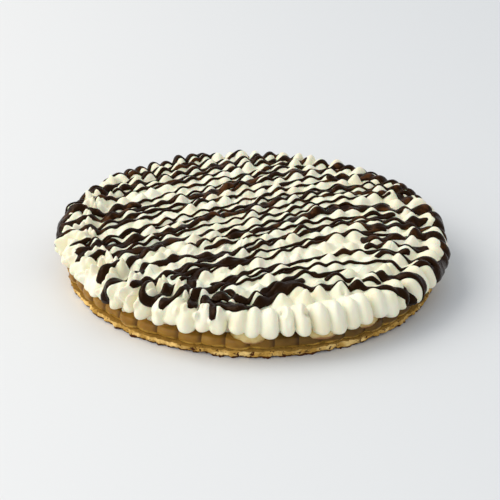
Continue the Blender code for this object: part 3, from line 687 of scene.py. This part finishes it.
def on_map(values, points):
    """A map's values at points (n, 2) of the unrolled plane, each mixed from the four grid points
    round it."""
    place = (points + MAP_HALF) / MAP_STEP
    corner = np.clip(np.floor(place).astype(int), 0, len(values) - 2)
    (u, v), (column, row) = (place - corner).T, corner.T
    front = values[row, column] * (1 - u) + values[row, column + 1] * u
    back = values[row + 1, column] * (1 - u) + values[row + 1, column + 1] * u
    return front * (1 - v) + back * v


def blurred(values, reach):
    """A map evened out by a bell curve of that reach, along its columns and then its rows."""
    cells = math.ceil(3 * reach / MAP_STEP)
    weights = np.exp(-(np.arange(-cells, cells + 1) * MAP_STEP / reach) ** 2 / 2)
    for _ in range(2):
        padded = np.pad(values, ((cells, cells), (0, 0)), mode="edge")
        stack = [padded[start:start + len(values)] * weight for start, weight in enumerate(weights)]
        values = (sum(stack) / weights.sum()).T
    return values


def widths_along(count, width, rng):
    """Half widths of a strand at each of its points: two sine waves make them waver, and near both
    ends they swell, then close like a circle. Also how full the strand is, from 0 at its ends
    to 1."""
    along = np.arange(count) * STROKE_STEP
    ends = np.minimum(along, along[::-1]) + END_BLUNTNESS
    round_end = np.sqrt(1 - np.clip(1 - ends / (width / 2), 0, 1) ** 2)
    waver = 1
    for lengths in WAVER_LENGTHS:
        waver = waver + WAVER * np.sin(along / rng.uniform(*lengths) + rng.uniform(0, WAVER_SHIFT))
    swell = 1 + END_SWELL * np.exp(-ends / END_SWELL_LENGTH)
    return width / 2 * waver * swell * round_end, round_end


def strand_lines(path, width, rng):
    """The lines side by side (rows, 7, 2) in the unrolled plane that a strand covers, set off at
    right angles to its path by shares of its half width, and how full it is at each row."""
    half, full = widths_along(len(path), width, rng)
    tangent = np.gradient(path, axis=0)
    tangent /= np.hypot(tangent[:, 0], tangent[:, 1])[:, None]
    normal = np.column_stack((-tangent[:, 1], tangent[:, 0]))
    across = half[:, None] * np.linspace(-1, 1, STRAND_LINES)
    return path[:, None] + normal[:, None] * across[..., None], full


def on_bed(points, height):
    """Places in space of unrolled points at a height over the bed: out over the low dome, round
    the shoulder, down the side, and drawn in where the side is bare between two kisses."""
    rho = np.hypot(points[:, 0], points[:, 1])
    theta = np.arctan2(points[:, 1], points[:, 0])
    turn = np.clip((rho - BED_FLAT_RADIUS) / SHOULDER_RADIUS, 0, math.pi / 2)
    down = np.clip(rho - SHOULDER_END, 0, None)
    flat = np.minimum(rho, BED_FLAT_RADIUS)
    dome = DOME_RISE * (1 - (flat / BED_FLAT_RADIUS) ** 2)
    low = np.clip((rho - RETREAT_START) / RETREAT_LENGTH, 0, 1)
    bare = np.clip(1 - height / BARE_HEIGHT, 0, 1) * low
    radius = flat + (SHOULDER_RADIUS + height) * np.sin(turn) - RETREAT * bare
    level = SHOULDER_CENTRE_HEIGHT + (SHOULDER_RADIUS + height) * np.cos(turn) + dome - down
    return ring(radius, theta, level)


def square_disc(count, radius):
    """Unrolled points of a square grid pressed round into a disc, (count + 1) points each way:
    a point's larger coordinate gives its ring, the smaller one its place on that ring."""
    steps = np.linspace(-1, 1, count + 1)
    a, b = np.meshgrid(steps, steps)
    wide = np.abs(a) > np.abs(b)
    longer, shorter = np.where(wide, a, b), np.where(wide, b, a)
    swing = math.pi / 4 * shorter / np.where(longer == 0, 1, longer)
    angle = np.where(wide, swing, math.pi / 2 - swing)
    return radius * np.stack((longer * np.cos(angle), longer * np.sin(angle)), -1)


def cream_surface(points):
    """Places in space of the cream's surface at unrolled points: piped, then pressed."""
    return on_bed(points, piped_relief(points) + on_map(press_map, points))


def cream_top():
    """The inner kisses: the disc grid on its relief, a wall down from its rim, a flat underside."""
    surface = cream_surface(square_disc(TOP_GRID, SEAM_RADIUS).reshape(-1, 2))
    index = np.arange(len(surface)).reshape(TOP_GRID + 1, TOP_GRID + 1)
    quads = np.stack((index[:-1, :-1], index[:-1, 1:], index[1:, 1:], index[1:, :-1]), -1)
    edge = np.concatenate((index[0, :-1], index[:-1, -1], index[-1, :0:-1], index[:0:-1, 0]))
    foot = surface[edge] * (1, 1, 0) + (0, 0, CREAM_BOTTOM)
    foot_index = len(surface) + np.arange(len(edge))
    walls = grid_quads(np.stack((foot_index, edge)))
    points = np.concatenate((surface, foot))
    faces = np.concatenate((quads.reshape(-1, 4), walls))
    return solid("cream_kisses", points, faces, (foot_index[::-1],))


def cream_rim():
    """The rim kisses: rings of as many points as the top's edge has, from the seam with the top
    out to the foot of the side and back in along the underside, closed into one thick ring."""
    columns = 4 * TOP_GRID
    angle = TOP_CORNER + 2 * math.pi * np.arange(columns) / columns
    rho = np.linspace(SEAM_RADIUS, BED_EDGE, RIM_ROWS)
    plane = np.stack((rho[:, None] * np.cos(angle), rho[:, None] * np.sin(angle)), -1).reshape(-1, 2)
    surface = cream_surface(plane).reshape(RIM_ROWS, columns, 3)
    under = ring(np.array((BED_FLAT_RADIUS, SEAM_RADIUS))[:, None], angle, CREAM_BOTTOM)
    points = np.concatenate((surface, under))[::-1]
    index = np.arange(points.shape[0] * columns).reshape(-1, columns)
    return solid("cream_rim", points.reshape(-1, 3), grid_quads(index, close_rows=True))


rng = np.random.default_rng(SEED + 60)
swung = []
for index, path in enumerate(stroke_paths(), start=FIRST_STROKE):
    if len(path) > SHORTEST_STROKE:
        width = THICK_WIDTH if index in THICK_STROKES else rng.uniform(*THIN_WIDTHS)
        swung.append(strand_lines(path, width * (1 - SIDE_SWELL * path[:, 0] / BED_EDGE), rng))
run_out = [strand_lines(smooth_run(corners), MILLIMETRE * width, rng) for width, *corners in RUNS]

steps = np.arange(-MAP_HALF, MAP_HALF, MAP_STEP)
grid = np.stack(np.meshgrid(steps, steps), -1)
piped_map = piped_relief(grid.reshape(-1, 2)).reshape(grid.shape[:2])
seat_map = blurred(piped_map, PRESS_REACH)
covered = np.zeros_like(piped_map)
for lines, _ in swung + run_out:
    column, row = np.round((lines.reshape(-1, 2) + MAP_HALF) / MAP_STEP).astype(int).T
    covered[row, column] = 1
covered = np.clip(PRESS_GAIN * blurred(covered, MAP_STEP), 0, 1)
press_map = np.minimum(seat_map - piped_map, 0) * covered

cream = Finish("whipped_cream", Roughness=0.5, Subsurface_Weight=0.25, Subsurface_Scale=0.004)
tint = cream.noise(size=0.02, detail=2.0).between(0.35, 0.65)
cream.set("Base Color", tint.paint(CREAM_LIGHT, CREAM_WARM))
cream.relief(cream.noise(size=0.0011, detail=4.0), depth=0.0002)
dress(cream_top(), cream, "cream", "whipped_cream")
dress(cream_rim(), cream, "cream", "whipped_cream")


# Melted chocolate
# Dark chocolate swung from a spoon in long strokes from the left front to the right back. It
# lies on the kisses, fills the dips, and set with a soft gloss.
STRAND_THICKNESS = 0.0014
STRAND_ROUNDNESS = 0.97           # 1 would bring its edges down to nothing
STRAND_SINK = 0.0006              # its underside lies this far inside the cream
BACK_FADE = (-0.09, 0.02)         # the thin brown places come in between these Y
CHOCOLATE_DARK = (0.0120, 0.0042, 0.0012)
CHOCOLATE_THIN = (0.070, 0.025, 0.0065)


def strand(lines, full):
    """Points (rows, 12, 3) of a strand over its seven lines on the evened cream, lifted most in
    the middle, and five lines back under it, just inside the cream."""
    flat = lines.reshape(-1, 2)
    shape = (len(lines), STRAND_LINES, 3)
    seat = on_map(seat_map, flat)
    surface = on_bed(flat, seat).reshape(shape)
    out = np.cross(np.gradient(surface, axis=0), np.gradient(surface, axis=1))
    out /= np.linalg.norm(out, axis=2, keepdims=True) + 1e-12
    across = np.linspace(-1, 1, STRAND_LINES)
    lift = STRAND_THICKNESS * full[:, None] * np.sqrt(1 - STRAND_ROUNDNESS * across ** 2)
    top = surface + out * lift[..., None]
    pressed = np.minimum(on_map(piped_map + press_map, flat), seat) - STRAND_SINK
    under = on_bed(flat, pressed).reshape(shape)[:, -2:0:-1]
    return np.concatenate((top, under), axis=1)[:, ::-1]


def strands(name, laid):
    """One object from several strands, each closed at both ends."""
    points, quads, caps, start = [], [], [], 0
    for lines, full in laid:
        strip = strand(lines, full)
        index = start + np.arange(strip.shape[0] * strip.shape[1]).reshape(strip.shape[:2])
        points.append(strip.reshape(-1, 3))
        quads.append(grid_quads(index))
        caps += [index[0][::-1], index[-1]]
        start += index.size
    return solid(name, np.concatenate(points), np.concatenate(quads), caps)


chocolate = Finish("dark_chocolate", Roughness=0.27, Specular_IOR_Level=0.10,
                   Specular_Tint=(1.0, 0.62, 0.36))
back = chocolate.along("Y").between(*BACK_FADE)
thin = chocolate.noise(size=0.009).between(0.50, 0.68) * back
chocolate.set("Base Color", thin.paint(CHOCOLATE_DARK, CHOCOLATE_THIN))
chocolate.relief(chocolate.noise(size=0.004, detail=2.0), depth=0.0008)
dress(strands("chocolate_strokes", swung), chocolate, "cream", "whipped_cream")
dress(strands("chocolate_runs", run_out), chocolate, "cream", "whipped_cream")


# Floor, light and camera
# A pale seamless floor with painted shade that darkens it to the right, two broad soft lights from
# the left and the left front, and a camera that looks down on the pie from a good metre away.
FLOOR_SIZE = 12.0
# Painted shade: the floor turns darker to the right, away from the lamps
FLOOR_LIT = (0.738, 0.732, 0.722)
FLOOR_SHADED = (0.675, 0.680, 0.683)
FLOOR_SHADE_FADE = (-0.40, 0.35)        # the one turns into the other between these X
WORLD_COLOUR = (0.86, 0.90, 0.95)
WORLD_STRENGTH = 0.81
CAMERA_DISTANCE = 1.200
CAMERA_ELEVATION = math.radians(26.59)
IMAGE_SIZE = 500
FOCAL_PIXELS = 1562.8
SENSOR_WIDTH = 36                 # in millimetres
ORIGIN_IN_IMAGE = (251.3, 266.4)  # pixels from the left and from the top
CAMERA_ROLL = math.radians(0.91)

floor_mesh = bpy.data.meshes.new("floor")
half = FLOOR_SIZE / 2
floor_corners = [(-half, -half, 0), (half, -half, 0), (half, half, 0), (-half, half, 0)]
floor_mesh.from_pydata(floor_corners, [], [(0, 1, 2, 3)])
floor = bpy.data.objects.new("floor", floor_mesh)
bpy.context.scene.collection.objects.link(floor)
floor_finish = Finish("pale_floor", Roughness=0.7)
right = floor_finish.along("X").between(*FLOOR_SHADE_FADE)
floor_finish.set("Base Color", right.paint(FLOOR_LIT, FLOOR_SHADED))
floor_mesh.materials.append(floor_finish.material)

world = bpy.data.worlds.new("studio")
world.use_nodes = True
background = world.node_tree.nodes["Background"]
background.inputs["Color"].default_value = (*WORLD_COLOUR, 1)
background.inputs["Strength"].default_value = WORLD_STRENGTH
bpy.context.scene.world = world


def area_light(name, place, aim, size, energy, colour):
    """A square soft light at a place, turned towards a point."""
    light = bpy.data.lights.new(name, "AREA")
    light.size = size
    light.energy = energy
    light.color = colour
    lamp = bpy.data.objects.new(name, light)
    lamp.location = place
    lamp.rotation_euler = (Vector(aim) - Vector(place)).to_track_quat("-Z", "Y").to_euler()
    bpy.context.scene.collection.objects.link(lamp)


area_light("key", place=(-2.3, 0.3, 2.4), aim=(0, 0, 0), size=2.4, energy=66,
           colour=(1.0, 0.97, 0.91))
area_light("fill", place=(-1.9, -1.6, 1.3), aim=(0, 0, 0.02), size=1.6, energy=19,
           colour=(1.0, 0.99, 0.96))

camera = bpy.data.cameras.new("camera")
camera.sensor_width = SENSOR_WIDTH
camera.lens = SENSOR_WIDTH * FOCAL_PIXELS / IMAGE_SIZE
camera.shift_x = -(ORIGIN_IN_IMAGE[0] - IMAGE_SIZE / 2) / IMAGE_SIZE
camera.shift_y = (ORIGIN_IN_IMAGE[1] - IMAGE_SIZE / 2) / IMAGE_SIZE
viewer = bpy.data.objects.new("camera", camera)
viewer.location = (0, -CAMERA_DISTANCE * math.cos(CAMERA_ELEVATION),
                   CAMERA_DISTANCE * math.sin(CAMERA_ELEVATION))
viewer.rotation_euler = (math.pi / 2 - CAMERA_ELEVATION, 0, 0)
viewer.rotation_euler.rotate_axis("Z", CAMERA_ROLL)
bpy.context.scene.collection.objects.link(viewer)
bpy.context.scene.camera = viewer
bpy.context.scene.view_settings.view_transform = "Standard"
